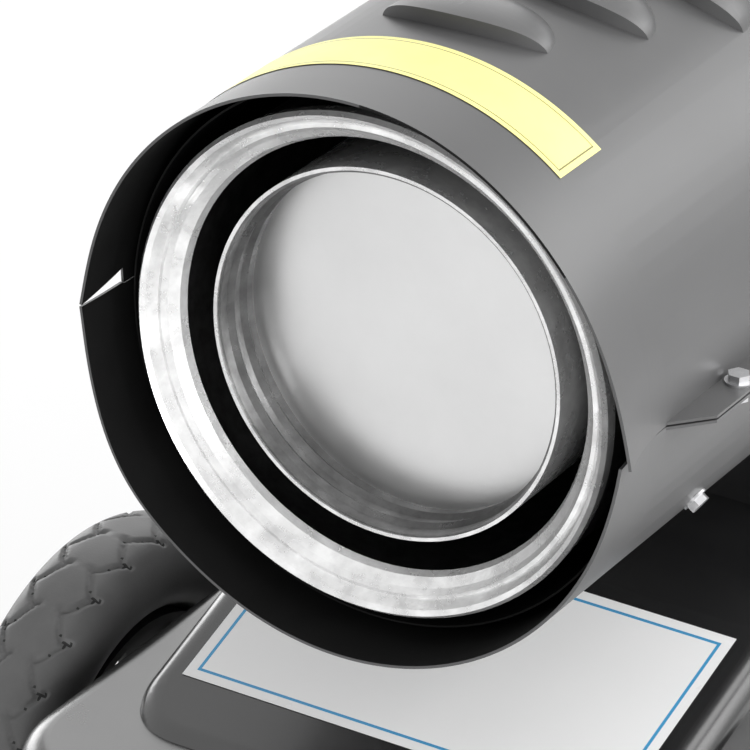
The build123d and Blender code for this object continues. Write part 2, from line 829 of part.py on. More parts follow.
cap_low = raised_z + sheet + seat_gap + 2
with BuildPart() as filler_cap:
    post(filler_x, filler_y, (cap_low, cap_low + filler_cap_h), filler_cap_r)
    fillet(filler_cap.edges().sort_by(Axis.Z)[-1], 3)
    post(filler_x, filler_y, (cap_low - 1, neck_top + seat_gap), neck_r + seat_gap, Mode.SUBTRACT)
    block(
        (filler_x - filler_cap_r * 0.7, filler_x + filler_cap_r * 0.7),
        (filler_y - 3, filler_y + 3),
        (cap_low + filler_cap_h - 1, cap_low + filler_cap_h + 5),
    )
keep(filler_cap, "filler_cap")

with BuildPart() as drain_plug:
    post(drain_x, drain_y, (tank_floor_z - 1, tank_floor_z + 2 * tank_wall), screw_r)
    with BuildSketch(floor_plane(drain_x, drain_y, tank_floor_z - nut_h)):
        RegularPolygon(radius=screw_af / 2, side_count=6, major_radius=False)
    extrude(amount=nut_h)
keep(drain_plug, "drain_plug")

# Front saddle that carries the barrel on the tank
with BuildPart() as front_saddle:
    block((-saddle_half_w, saddle_half_w), (saddle_y, saddle_y + saddle_len), (raised_z, axis_z - 40))
    block(
        (-saddle_half_w + support_sheet, saddle_half_w - support_sheet),
        (saddle_y + support_sheet, saddle_y + saddle_len - support_sheet),
        (raised_z + support_sheet, axis_z),
        Mode.SUBTRACT,
    )
    clear_barrel(0)
keep(front_saddle, "front_saddle")

# Control box under the rear of the barrel, open to the barrel and closed by it
box_floor_z = raised_z + box_sheet
box_top_z = axis_z - sqrt(shell_r**2 - box_half_w**2) + box_lap
inner_half_w = box_half_w - box_sheet
panel_face_x = box_half_w + panel_t
panel_low_z = raised_z + panel_low
panel_high_z = panel_low_z + panel_h
panel_mid_z = (panel_low_z + panel_high_z) / 2
panel_spots = [
    (y, z)
    for y in (panel_y + panel_screw_inset, panel_y + panel_len - panel_screw_inset)
    for z in (panel_low_z + panel_screw_inset, panel_high_z - panel_screw_inset)
]


def through_panel(y, z, radius):
    crosswise((inner_half_w - 1, panel_face_x + 1), y, z, radius, Mode.SUBTRACT)


with BuildPart() as control_box:
    block((-box_half_w, box_half_w), (box_y, box_y + box_len), (raised_z, axis_z))
    block(
        (-inner_half_w, inner_half_w),
        (box_y + box_sheet, box_y + box_len - box_sheet),
        (box_floor_z, axis_z + 1),
        Mode.SUBTRACT,
    )
    clear_barrel(0)
    block((-box_half_w - 1, box_half_w + 1), (0, barrel_len), (box_top_z, axis_z + 1), Mode.SUBTRACT)
    block(
        (inner_half_w - 1, box_half_w + 1),
        (panel_y + panel_lap, panel_y + panel_len - panel_lap),
        (panel_low_z + panel_lap, panel_high_z - panel_lap),
        Mode.SUBTRACT,
    )
    for y, z in panel_spots:
        through_panel(y, z, screw_r)
    post(0, suction_y, (raised_z - 1, box_floor_z + 1), fuel_pipe_r, Mode.SUBTRACT)
keep(control_box, "control_box")

# Panel with its switch, knob, reset button, lamp and power inlet gland
reset_z = panel_mid_z - reset_drop
lamp_z = panel_mid_z + reset_drop

with BuildPart() as control_panel:
    block((box_half_w, panel_face_x), (panel_y, panel_y + panel_len), (panel_low_z, panel_high_z))
    fillet(control_panel.edges().filter_by(Axis.X), panel_corner_r)
    block(
        (box_half_w - 1, panel_face_x + 1),
        (switch_y - switch_w / 2, switch_y + switch_w / 2),
        (panel_mid_z - switch_h / 2, panel_mid_z + switch_h / 2),
        Mode.SUBTRACT,
    )
    through_panel(knob_y, panel_mid_z, knob_shaft_r + bearing_clearance)
    through_panel(reset_y, reset_z, reset_r + bearing_clearance)
    through_panel(reset_y, lamp_z, lamp_r)
    through_panel(gland_y, panel_mid_z, gland_body_r)
    for y, z in panel_spots:
        through_panel(y, z, screw_r)
keep(control_panel, "control_panel")

# The switch frame stands round the rocker, which tilts about a pin through its middle
rocker_pin = (panel_face_x - rocker_pin_depth, outlet_y + switch_y, panel_mid_z)
frame_half_w = switch_w / 2 + switch_lip
frame_half_h = switch_h / 2 + switch_lip
with BuildPart() as switch_frame:
    block(
        (panel_face_x, panel_face_x + switch_lip),
        (switch_y - frame_half_w, switch_y + frame_half_w),
        (panel_mid_z - frame_half_h, panel_mid_z + frame_half_h),
    )
    block(
        (panel_face_x - 22, panel_face_x),
        (switch_y - switch_w / 2, switch_y + switch_w / 2),
        (panel_mid_z - switch_h / 2, panel_mid_z + switch_h / 2),
    )
    block(
        (panel_face_x - 12, panel_face_x + 3),
        (switch_y - rocker_w / 2 - seat_gap, switch_y + rocker_w / 2 + seat_gap),
        (panel_mid_z - rocker_h / 2 - 1, panel_mid_z + rocker_h / 2 + 1),
        Mode.SUBTRACT,
    )
    with Locations(Location(rocker_pin, (90, 0, 0))):
        Cylinder(rocker_pin_r, switch_w - 1)
keep(switch_frame, "switch_frame")

rocker_lean = (cos(radians(rocker_rest_tilt)), 0, sin(radians(rocker_rest_tilt)))
with BuildPart() as switch_rocker:
    with BuildSketch(Plane(origin=rocker_pin, x_dir=rocker_lean, z_dir=(0, -1, 0))):
        with BuildLine():
            Polyline(
                (-3, -5),
                (0, -rocker_h / 2),
                (6, -rocker_h / 2),
                (4.6, 0),
                (6, rocker_h / 2),
                (0, rocker_h / 2),
                (-3, 5),
                close=True,
            )
        make_face()
    extrude(amount=rocker_w / 2, both=True)
    with Locations(Location(rocker_pin, (90, 0, 0))):
        Cylinder(rocker_pin_r + bearing_clearance, 2 * rocker_w, mode=Mode.SUBTRACT)
keep(switch_rocker, "switch_rocker")

# Room thermostat and overheat reset in one housing behind the panel
device_back = panel_face_x - 24
device_floor = panel_face_x - 12
with BuildPart() as thermostat:
    device_span = (panel_low_z + panel_lap, panel_mid_z + 12)
    block((device_back, box_half_w), (knob_y - 15, reset_y + 9), device_span)
    block(
        (device_back - 1, box_half_w + 1),
        (reset_y - 9, reset_y + 10),
        (panel_mid_z + 1, panel_mid_z + 13),
        Mode.SUBTRACT,
    )
    device_bore = (device_floor, panel_face_x)
    crosswise(device_bore, knob_y, panel_mid_z, knob_shaft_r + bearing_clearance, Mode.SUBTRACT)
    crosswise(device_bore, reset_y, reset_z, reset_r + bearing_clearance, Mode.SUBTRACT)
keep(thermostat, "thermostat")

with BuildPart() as thermostat_knob:
    knob_near = (panel_face_x + seat_gap, panel_face_x + seat_gap + knob_h)
    crosswise(knob_near, knob_y, panel_mid_z, knob_r)
    fillet(thermostat_knob.edges().group_by(Axis.X)[-1], 1.5)
    for i in range(12):
        angle = radians(30 * i)
        crosswise(
            (knob_near[0] + 3, knob_near[1] + 1),
            knob_y + knob_r * cos(angle),
            panel_mid_z + knob_r * sin(angle),
            knob_flute_r,
            Mode.SUBTRACT,
        )
    crosswise((device_floor + seat_gap, knob_near[0] + 1), knob_y, panel_mid_z, knob_shaft_r)
keep(thermostat_knob, "thermostat_knob")

with BuildPart() as reset_button:
    reset_inner = device_floor + reset_travel + seat_gap
    crosswise((reset_inner, panel_face_x + reset_travel + 1.5), reset_y, reset_z, reset_r)
    fillet(reset_button.edges().group_by(Axis.X)[-1], 1)
keep(reset_button, "reset_button")

with BuildPart() as indicator_lamp:
    crosswise((panel_face_x - 12, panel_face_x + 1), reset_y, lamp_z, lamp_r)
    crosswise((panel_face_x, panel_face_x + 1), reset_y, lamp_z, lamp_r + 1.5)
    fillet(indicator_lamp.edges().group_by(Axis.X)[-1], 0.6)
keep(indicator_lamp, "indicator_lamp")

with BuildPart() as power_gland:
    crosswise((panel_face_x - 10, panel_face_x + 4), gland_y, panel_mid_z, gland_body_r)
    with BuildSketch(side_plane(panel_face_x, gland_y, panel_mid_z)):
        RegularPolygon(radius=gland_r, side_count=6)
    extrude(amount=6)
    crosswise((panel_face_x + 6, panel_face_x + gland_len), gland_y, panel_mid_z, gland_body_r)
    fillet(power_gland.edges().group_by(Axis.X)[-1], 1.5)
    gland_bore = (panel_face_x - 11, panel_face_x + gland_len + 1)
    crosswise(gland_bore, gland_y, panel_mid_z, gland_bore_r, Mode.SUBTRACT)
keep(power_gland, "power_gland")

# Ignition transformer and burner control unit on the floor of the box
with BuildPart() as ignition_transformer:
    block(
        (-inner_half_w + 4, -inner_half_w + 4 + transformer_size[0]),
        (box_y + 16, box_y + 16 + transformer_size[1]),
        (box_floor_z, box_floor_z + transformer_size[2]),
    )
    fillet(ignition_transformer.edges().filter_by(Axis.Z), 3)
keep(ignition_transformer, "ignition_transformer")

with BuildPart() as control_unit:
    block(
        (-inner_half_w + 4, -inner_half_w + 4 + control_unit_size[0]),
        (box_y + 90, box_y + 90 + control_unit_size[1]),
        (box_floor_z, box_floor_z + control_unit_size[2]),
    )
    fillet(control_unit.edges().filter_by(Axis.Z), 3)
keep(control_unit, "control_unit")


# Tubes bent from straight runs
def bent_tube(points, radii, outer, wall):
    with BuildLine() as run:
        FilletPolyline(*points, radius=radii)
    start = Plane(origin=run.line @ 0, z_dir=run.line % 0)
    with BuildSketch(start) as section:
        Circle(outer)
        Circle(outer - wall, mode=Mode.SUBTRACT)
    sweep(section.sketch, path=run.line)


# Handle: one tube lying on both sides of the tank and rising behind it
handle_z = shoulder_z + handle_r
bar_z = handle_z + handle_bar_rise
handle_side = ((handle_start_y, handle_z), (handle_bend_y, handle_z), (handle_bar_y, bar_z))
with BuildPart() as handle_tube:
    left_run = [(-handle_x, outlet_y + y, z) for y, z in handle_side]
    right_run = [(handle_x, outlet_y + y, z) for y, z in reversed(handle_side)]
    bent_tube(left_run + right_run, handle_bend_r, handle_r, handle_wall)
keep(handle_tube, "handle_tube")

with BuildPart() as handle_grips:
    for x in (-grip_x, grip_x):
        span = (x - grip_len / 2, x + grip_len / 2)
        crosswise(span, handle_bar_y, bar_z, grip_r)
        crosswise(span, handle_bar_y, bar_z, handle_r, Mode.SUBTRACT)
keep(handle_grips, "handle_grips")

with BuildPart() as handle_clips:
    for side in (-1, 1):
        for y in clip_ys:
            with BuildSketch(
                Plane(
                    origin=(side * handle_x, outlet_y + y, handle_z),
                    x_dir=(1, 0, 0),
                    z_dir=(0, -1, 0),
                )
            ):
                Circle(handle_r + clip_t)
                with Locations((0, -handle_r / 2)):
                    Rectangle(2 * (handle_r + clip_t), handle_r)
                Circle(handle_r, mode=Mode.SUBTRACT)
                with Locations((0, -handle_r / 2)):
                    Rectangle(2 * handle_r, handle_r, mode=Mode.SUBTRACT)
                with Locations((0, -2 * handle_r)):
                    Rectangle(4 * handle_r, 2 * handle_r, mode=Mode.SUBTRACT)
            extrude(amount=clip_len / 2, both=True)
keep(handle_clips, "handle_clips")

# Rear stand: a bent tube with two rubber feet, under plates on the tank
stand_top_z = tank_floor_z - support_sheet
foot_z = foot_r
stand_side = ((stand_top_y, stand_top_z + 12), (stand_foot_y, foot_z))
with BuildPart() as rear_stand:
    left_leg = [(-stand_x, outlet_y + y, z) for y, z in stand_side]
    right_leg = [(stand_x, outlet_y + y, z) for y, z in reversed(stand_side)]
    bent_tube(left_leg + right_leg, stand_bend_r, stand_r, stand_wall)
    tank_above = (stand_top_z, stand_top_z + 60)
    block((-tank_half_w, tank_half_w), (0, barrel_len), tank_above, Mode.SUBTRACT)
    for x in (-stand_x, stand_x):
        block(
            (x - stand_plate / 2, x + stand_plate / 2),
            (stand_top_y - stand_plate / 2, stand_top_y + stand_plate / 2),
            (stand_top_z, tank_floor_z),
        )
keep(rear_stand, "rear_stand")

with BuildPart() as rubber_feet:
    for x in (-foot_x, foot_x):
        span = (x - foot_len / 2, x + foot_len / 2)
        crosswise(span, stand_foot_y, foot_z, foot_r + foot_flat)
        crosswise(span, stand_foot_y, foot_z, stand_r, Mode.SUBTRACT)
    block((-tank_half_w, tank_half_w), (0, barrel_len), (-foot_r, 0), Mode.SUBTRACT)
keep(rubber_feet, "rubber_feet")

# Axle in two brackets under the tank
hub_out_x = wheel_inner_x + tyre_w + hub_overhang
hub_in_x = wheel_inner_x - hub_overhang
hub_r = axle_r + hub_wall
nut_x = hub_out_x + wheel_gap + washer_t
axle_end_x = nut_x + push_nut_t
with BuildPart() as axle:
    crosswise((-axle_end_x, axle_end_x), axle_y, axle_z, axle_r)
    chamfer(axle.edges(), 1)
keep(axle, "axle")

with BuildPart() as axle_brackets:
    for side in (-1, 1):
        spread = sorted((side * bracket_in_x, side * bracket_out_x))
        along = (axle_y - bracket_len / 2, axle_y + bracket_len / 2)
        block(spread, along, (axle_z - axle_r - bracket_foot, tank_floor_z))
        hollow = (spread[0] + bracket_t, spread[1] - bracket_t)
        wide = (along[0] - 1, along[1] + 1)
        block(hollow, wide, (0, tank_floor_z - bracket_t), Mode.SUBTRACT)
        crosswise((spread[0] - 1, spread[1] + 1), axle_y, axle_z, axle_r, Mode.SUBTRACT)
keep(axle_brackets, "axle_brackets")

# Spacer sleeves inside the wheels, and a washer and a push nut outside each wheel
with BuildPart() as axle_fittings:
    for side in (-1, 1):
        sleeve_ends = sorted((side * bracket_out_x, side * (hub_in_x - wheel_gap)))
        crosswise(sleeve_ends, axle_y, axle_z, axle_r + axle_sleeve_wall)
        washer_ends = sorted((side * (nut_x - washer_t), side * nut_x))
        crosswise(washer_ends, axle_y, axle_z, washer_r)
        crosswise(sorted((side * nut_x, side * axle_end_x)), axle_y, axle_z, push_nut_r)
    crosswise((-axle_end_x - 1, axle_end_x + 1), axle_y, axle_z, axle_r, Mode.SUBTRACT)
keep(axle_fittings, "axle_fittings")


# Wheels: a turned section round the axle for each piece
def turned(points):
    centre = (0, outlet_y + axle_y, axle_z)
    with BuildSketch(Plane(origin=centre, x_dir=(1, 0, 0), z_dir=(0, -1, 0))) as section:
        with BuildLine():
            Polyline(*points, close=True)
        make_face()
    revolve(section.sketch, axis=Axis(centre, (1, 0, 0)))


for side, suffix in ((-1, "left"), (1, "right")):
    inner_x = side * wheel_inner_x
    outer_x = side * (wheel_inner_x + tyre_w)
    middle_x = side * (wheel_inner_x + tyre_w / 2)

    with BuildPart() as tyre:
        shoulder_x = side * 7
        crown_x = side * 14
        turned(
            [
                (inner_x + shoulder_x, tyre_bead_r),
                (inner_x, tyre_bead_r + 8),
                (inner_x, wheel_r - tyre_shoulder),
                (inner_x + shoulder_x / 2, wheel_r - tyre_shoulder / 2.6),
                (inner_x + crown_x, wheel_r - 1),
                (middle_x, wheel_r),
                (outer_x - crown_x, wheel_r - 1),
                (outer_x - shoulder_x / 2, wheel_r - tyre_shoulder / 2.6),
                (outer_x, wheel_r - tyre_shoulder),
                (outer_x, tyre_bead_r + 8),
                (outer_x - shoulder_x, tyre_bead_r),
            ]
        )
    keep(tyre, "tyre_" + suffix)

    with BuildPart() as rim:
        rim_half = tyre_w / 2 - 5
        web = rim_web_t / 2
        turned(
            [
                (middle_x - side * rim_half, tyre_bead_r),
                (middle_x - side * rim_half, tyre_bead_r - 4),
                (middle_x - side * web, tyre_bead_r - 6),
                (middle_x - side * web, hub_r),
                (side * hub_in_x, hub_r),
                (side * hub_in_x, axle_r + bearing_clearance),
                (side * hub_out_x, axle_r + bearing_clearance),
                (side * hub_out_x, hub_r),
                (middle_x + side * web, hub_r),
                (middle_x + side * web, tyre_bead_r - 6),
                (middle_x + side * rim_half, tyre_bead_r - 4),
                (middle_x + side * rim_half, tyre_bead_r),
            ]
        )
        for i in range(rim_windows):
            angle = radians(360 / rim_windows * i + 90)
            crosswise(
                sorted((inner_x, outer_x)),
                axle_y + rim_window_pcr * cos(angle),
                axle_z + rim_window_pcr * sin(angle),
                rim_window_r,
                Mode.SUBTRACT,
            )
    keep(rim, "rim_" + suffix)

    with BuildPart() as hub_cap:
        cap_seat = side * (hub_out_x - 4)
        cap_end = side * (axle_end_x + 4)
        turned(
            [
                (cap_seat, hub_r),
                (cap_seat, hub_r + hub_cap_wall),
                (cap_end - side * 2, hub_r + hub_cap_wall),
                (cap_end, hub_r),
                (cap_end, 0),
                (cap_end - side * hub_cap_wall, 0),
                (cap_end - side * hub_cap_wall, hub_r),
            ]
        )
    keep(hub_cap, "hub_cap_" + suffix)

# Screws along the seams with a nut under each, in the casing's sides and round the panel
seam_top = axis_z + seam_gap / 2 + sheet
seam_under = axis_z - seam_gap / 2 - sheet
with BuildPart() as flanged_screws:
    with Locations(*[(x, outlet_y + y, seam_top) for x, y in seam_spots]):
        add(flanged_screw(seam_top - seam_under + nut_h + 1))
    for x, y in seam_spots:
        with BuildSketch(floor_plane(x, y, seam_under - nut_h)):
            RegularPolygon(radius=screw_af / 2, side_count=6, major_radius=False)
        extrude(amount=nut_h)
    for angle in side_screw_angles:
        aim = Location((0, outlet_y + side_screw_y, axis_z), (0, 90 - angle, 0))
        with Locations(aim * Location((0, 0, shell_r))):
            add(flanged_screw(side_screw_len))
    with Locations(*[Location((panel_face_x, outlet_y + y, z), (0, 90, 0)) for y, z in panel_spots]):
        add(flanged_screw(panel_screw_len))
keep(flanged_screws, "flanged_screws")
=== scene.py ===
import bpy
from math import atan2, cos, exp, pi, radians, sin
from mathutils import Matrix, Vector


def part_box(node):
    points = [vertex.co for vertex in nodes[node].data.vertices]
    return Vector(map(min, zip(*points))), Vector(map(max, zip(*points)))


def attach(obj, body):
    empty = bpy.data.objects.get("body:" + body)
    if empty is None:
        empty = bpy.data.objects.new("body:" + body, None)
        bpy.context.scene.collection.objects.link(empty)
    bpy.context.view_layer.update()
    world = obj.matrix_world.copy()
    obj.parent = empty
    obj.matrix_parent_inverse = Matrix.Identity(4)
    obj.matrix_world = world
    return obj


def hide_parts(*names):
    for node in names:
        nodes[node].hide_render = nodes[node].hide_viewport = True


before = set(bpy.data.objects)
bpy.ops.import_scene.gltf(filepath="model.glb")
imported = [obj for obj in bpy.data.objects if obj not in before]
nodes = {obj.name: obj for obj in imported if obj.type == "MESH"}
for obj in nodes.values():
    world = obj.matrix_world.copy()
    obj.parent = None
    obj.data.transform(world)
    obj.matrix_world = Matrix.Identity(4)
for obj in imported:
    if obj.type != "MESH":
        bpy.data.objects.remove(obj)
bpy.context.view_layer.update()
bpy.ops.object.select_all(action="DESELECT")

# The camera stands to the right of the outlet and above it, with a long lens
# that fills the picture with the mouth of the barrel.
camera_place = (1.0806, -2.1909, 1.4789)
focal_len = 302.2
azimuth = radians(30.197)
elevation = radians(27.013)
roll = radians(1.888)
back = Vector((sin(azimuth) * cos(elevation), -cos(azimuth) * cos(elevation), sin(elevation)))
level_right = Vector((cos(azimuth), sin(azimuth), 0))
level_up = back.cross(level_right)
right = level_right * cos(roll) + level_up * sin(roll)
up = level_up * cos(roll) - level_right * sin(roll)
bpy.ops.object.camera_add()
camera = bpy.context.object
camera.name = "photo_camera"
turned_axes = Matrix((right, up, back)).transposed().to_4x4()
camera.matrix_world = Matrix.Translation(camera_place) @ turned_axes
camera.data.sensor_width = 36
camera.data.lens = focal_len
camera.data.clip_end = 30
bpy.context.scene.camera = camera
bpy.context.scene.view_settings.view_transform = "Standard"

# Plain studio: a pale floor, a white surround and large soft lamps. Those behind give
# the long sheen along the tank, the tyre and the right side of the barrel.
world = bpy.data.worlds.new("studio")
bpy.context.scene.world = world
world.use_nodes = True
tree = world.node_tree
surround = tree.nodes["Background"]
surround.inputs["Color"].default_value = (1, 1, 1, 1)
paths = tree.nodes.new("ShaderNodeLightPath")
seen = tree.nodes.new("ShaderNodeMath")
seen.operation = "MAXIMUM"
tree.links.new(paths.outputs["Is Camera Ray"], seen.inputs[0])
tree.links.new(paths.outputs["Is Glossy Ray"], seen.inputs[1])
seen_or_through = tree.nodes.new("ShaderNodeMath")
seen_or_through.operation = "MAXIMUM"
tree.links.new(seen.outputs[0], seen_or_through.inputs[0])
tree.links.new(paths.outputs["Is Transmission Ray"], seen_or_through.inputs[1])
level = tree.nodes.new("ShaderNodeMapRange")
level.inputs["To Min"].default_value = 0.5
level.inputs["To Max"].default_value = 1.1
tree.links.new(seen_or_through.outputs[0], level.inputs["Value"])
tree.links.new(level.outputs[0], surround.inputs["Strength"])

bpy.ops.mesh.primitive_plane_add(size=14)
floor = bpy.context.object
floor.name = "studio_floor"
pale = bpy.data.materials.new("pale_floor")
pale.use_nodes = True
tree = pale.node_tree
matt = tree.nodes["Principled BSDF"]
matt.inputs["Base Color"].default_value = (0.9, 0.9, 0.9, 1)
matt.inputs["Roughness"].default_value = 0.9
glow = tree.nodes.new("ShaderNodeEmission")
paths = tree.nodes.new("ShaderNodeLightPath")
share = tree.nodes.new("ShaderNodeMath")
share.operation = "MULTIPLY"
share.inputs[1].default_value = 0.8
blend = tree.nodes.new("ShaderNodeMixShader")
tree.links.new(paths.outputs["Is Camera Ray"], share.inputs[0])
tree.links.new(share.outputs[0], blend.inputs["Fac"])
tree.links.new(matt.outputs[0], blend.inputs[1])
tree.links.new(glow.outputs[0], blend.inputs[2])
tree.links.new(blend.outputs[0], tree.nodes["Material Output"].inputs["Surface"])
floor.data.materials.append(pale)

lamp_target = Vector((0, 0, 0.35))
for name, place, size, power in (
    ("lamp_above", (0.6, 0.3, 2.6), 1.6, 20),
    ("lamp_right", (2.6, 0.2, 1.7), 2.2, 56),
    ("lamp_front", (1.5, -2.4, 0.6), 1.0, 24),
    ("lamp_left", (-2.7, 1.4, 0.45), 1.6, 36),
    ("lamp_back_left", (-1.3, 2.3, 1.7), 2.2, 20),
    ("lamp_back_right", (1.0, 1.3, 1.3), 0.9, 14),
):
    bpy.ops.object.light_add(type="AREA", location=place)
    lamp = bpy.context.object
    lamp.name = name
    lamp.data.size = size
    lamp.data.energy = power
    lamp.rotation_euler = (lamp_target - Vector(place)).to_track_quat("-Z", "Y").to_euler()

# Every finish of the heater has some unevenness: its colour drifts over a hand's
# width, its gloss is patchy, and a fine grain stands on it.
unevenness = bpy.data.node_groups.new("unevenness", "ShaderNodeTree")
for socket, kind, value in (
    ("Colour", "NodeSocketColor", None),
    ("Worn Colour", "NodeSocketColor", None),
    ("Patch Scale", "NodeSocketFloat", 20.0),
    ("Grain Scale", "NodeSocketFloat", 900.0),
    ("Low Roughness", "NodeSocketFloat", 0.3),
    ("High Roughness", "NodeSocketFloat", 0.5),
):
    added = unevenness.interface.new_socket(socket, in_out="INPUT", socket_type=kind)
    if value is not None:
        added.default_value = value
unevenness.interface.new_socket("Colour", in_out="OUTPUT", socket_type="NodeSocketColor")
unevenness.interface.new_socket("Roughness", in_out="OUTPUT", socket_type="NodeSocketFloat")
unevenness.interface.new_socket("Height", in_out="OUTPUT", socket_type="NodeSocketFloat")
made = unevenness.nodes
outer = made.new("NodeGroupInput")
result = made.new("NodeGroupOutput")
place = made.new("ShaderNodeTexCoord")
patches = made.new("ShaderNodeTexNoise")
patches.inputs["Detail"].default_value = 6
patches.inputs["Roughness"].default_value = 0.62
grain = made.new("ShaderNodeTexNoise")
grain.inputs["Detail"].default_value = 3
spread = made.new("ShaderNodeMapRange")
spread.inputs["From Min"].default_value = 0.35
spread.inputs["From Max"].default_value = 0.7
tint = made.new("ShaderNodeMix")
tint.data_type = "RGBA"
gloss = made.new("ShaderNodeMapRange")
gloss.inputs["From Min"].default_value = 0.3
gloss.inputs["From Max"].default_value = 0.7
for start, end in (
    (place.outputs["Object"], patches.inputs["Vector"]),
    (place.outputs["Object"], grain.inputs["Vector"]),
    (outer.outputs["Patch Scale"], patches.inputs["Scale"]),
    (outer.outputs["Grain Scale"], grain.inputs["Scale"]),
    (patches.outputs["Fac"], spread.inputs["Value"]),
    (spread.outputs[0], tint.inputs["Factor"]),
    (patches.outputs["Fac"], gloss.inputs["Value"]),
    (outer.outputs["Low Roughness"], gloss.inputs["To Min"]),
    (outer.outputs["High Roughness"], gloss.inputs["To Max"]),
):
    unevenness.links.new(start, end)
colour_out = [s for s in tint.outputs if s.type == "RGBA"][0]
colours_in = [s for s in tint.inputs if s.type == "RGBA"]
unevenness.links.new(outer.outputs["Colour"], colours_in[0])
unevenness.links.new(outer.outputs["Worn Colour"], colours_in[1])
unevenness.links.new(colour_out, result.inputs["Colour"])
unevenness.links.new(gloss.outputs[0], result.inputs["Roughness"])
unevenness.links.new(grain.outputs["Fac"], result.inputs["Height"])


# One finish: its own colour and the colour where it is worn, how much it is metal, the
# two ends of its roughness, the scales of patches and grain, and the depth of the grain.
def finish(name, colour, worn, metal, low, high, patch=20.0, grain=900.0, depth=0.00002, shine=0.5):
    material = bpy.data.materials.new(name)
    material.use_nodes = True
    tree = material.node_tree
    shader = tree.nodes["Principled BSDF"]
    shader.inputs["Metallic"].default_value = metal
    shader.inputs["Specular IOR Level"].default_value = shine
    effect = tree.nodes.new("ShaderNodeGroup")
    effect.node_tree = unevenness
    effect.inputs["Colour"].default_value = (*colour, 1)
    effect.inputs["Worn Colour"].default_value = (*worn, 1)
    effect.inputs["Patch Scale"].default_value = patch
    effect.inputs["Grain Scale"].default_value = grain
    effect.inputs["Low Roughness"].default_value = low
    effect.inputs["High Roughness"].default_value = high
    bump = tree.nodes.new("ShaderNodeBump")
    bump.inputs["Distance"].default_value = depth
    tree.links.new(effect.outputs["Colour"], shader.inputs["Base Color"])
    tree.links.new(effect.outputs["Roughness"], shader.inputs["Roughness"])
    tree.links.new(effect.outputs["Height"], bump.inputs["Height"])
    tree.links.new(bump.outputs[0], shader.inputs["Normal"])
    return material


def coat(material, *names):
    for name in names:
        nodes[name].data.materials.clear()
        nodes[name].data.materials.append(material)


# The casing is two half shells of sheet steel in satin grey stove enamel, black inside.
# Their front edges have sprung apart: outwards on the right, into a slit on the left.
drum_r = 0.0775
mouth_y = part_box("upper_shell")[0][1]
axis_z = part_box("exchanger_drum")[0][2] + drum_r
casing_r = 0.118
casing_sides = 240
casing_sheet = 0.0012
half_seam = 0.0002
band_len = 0.0399
slit_len = 0.0262
slit_step = 0.0007
slit_mouth = 0.0006
slit_end = 0.0062
slit_rest = 0.0007
slit_angle = 9
band_cuts = (0.004, 0.009, 0.015, 0.02, slit_len, slit_len + slit_step, 0.032, 0.036)

# How far the front edge has sprung, and the degrees over which each bend fades out.
# Angles count from the right-hand seam; the slit is at the left-hand one.
top_flare = 0.0072
top_flare_fade = 15
top_dip = 0.0008
top_dip_at = 50
top_dip_fade = 20
low_flare = 0.003
low_flare_fade = 12
low_bulge = 0.0024
low_bulge_at = 146
low_bulge_fade = 16
slit_lift = 0.0022
slit_lift_fade = 6

# The flanges' outer corners are bevelled at the front. A face is on the inside when it
# looks at the axis and is closer to it than the casing's skin.
flange_x = casing_r + 0.01
flange_front = 0.0405
flange_ramp = 0.016
skin_r_front = casing_r + 0.006
skin_r_behind = casing_r - 0.0005
casing_paint = finish(
    "casing_enamel", (0.072, 0.072, 0.073), (0.084, 0.084, 0.085), 0, 0.38, 0.44, 9, 1500, 0.000012
)
inside_black = finish("inside_black", (0.004, 0.004, 0.004), (0.008, 0.008, 0.008), 0, 0.6, 0.75, shine=0.15)


# An open tube round the casing's axis, between two distances behind the mouth.
def round_piece(name, radius, near, far, segments):
    bpy.ops.object.select_all(action="DESELECT")
    bpy.ops.mesh.primitive_cylinder_add(
        vertices=segments,
        radius=radius,
        depth=far - near,
        end_fill_type="NOTHING",
        location=(0, mouth_y + (near + far) / 2, axis_z),
        rotation=(pi / 2, 0, 0),
    )
    piece = bpy.context.object
    piece.name = name
    bpy.ops.object.transform_apply(location=True, rotation=True, scale=True)
    return piece


# Cuts the active mesh along a plane and, if asked, drops what lies behind the plane.
def cut(place, normal, clear_inner=False):
    bpy.ops.object.mode_set(mode="EDIT")
    bpy.ops.mesh.select_all(action="SELECT")
    bpy.ops.mesh.bisect(plane_co=place, plane_no=normal, clear_inner=clear_inner)
    bpy.ops.object.mode_set(mode="OBJECT")


# A loose copy of one of the part's pieces, selected and active.
def copy_of(node):
    bpy.ops.object.select_all(action="DESELECT")
    twin = nodes[node].copy()
    twin.data = nodes[node].data.copy()
    twin.parent = None
    twin.matrix_world = Matrix.Identity(4)
    bpy.context.scene.collection.objects.link(twin)
    twin.select_set(True)
    bpy.context.view_layer.objects.active = twin
    return twin


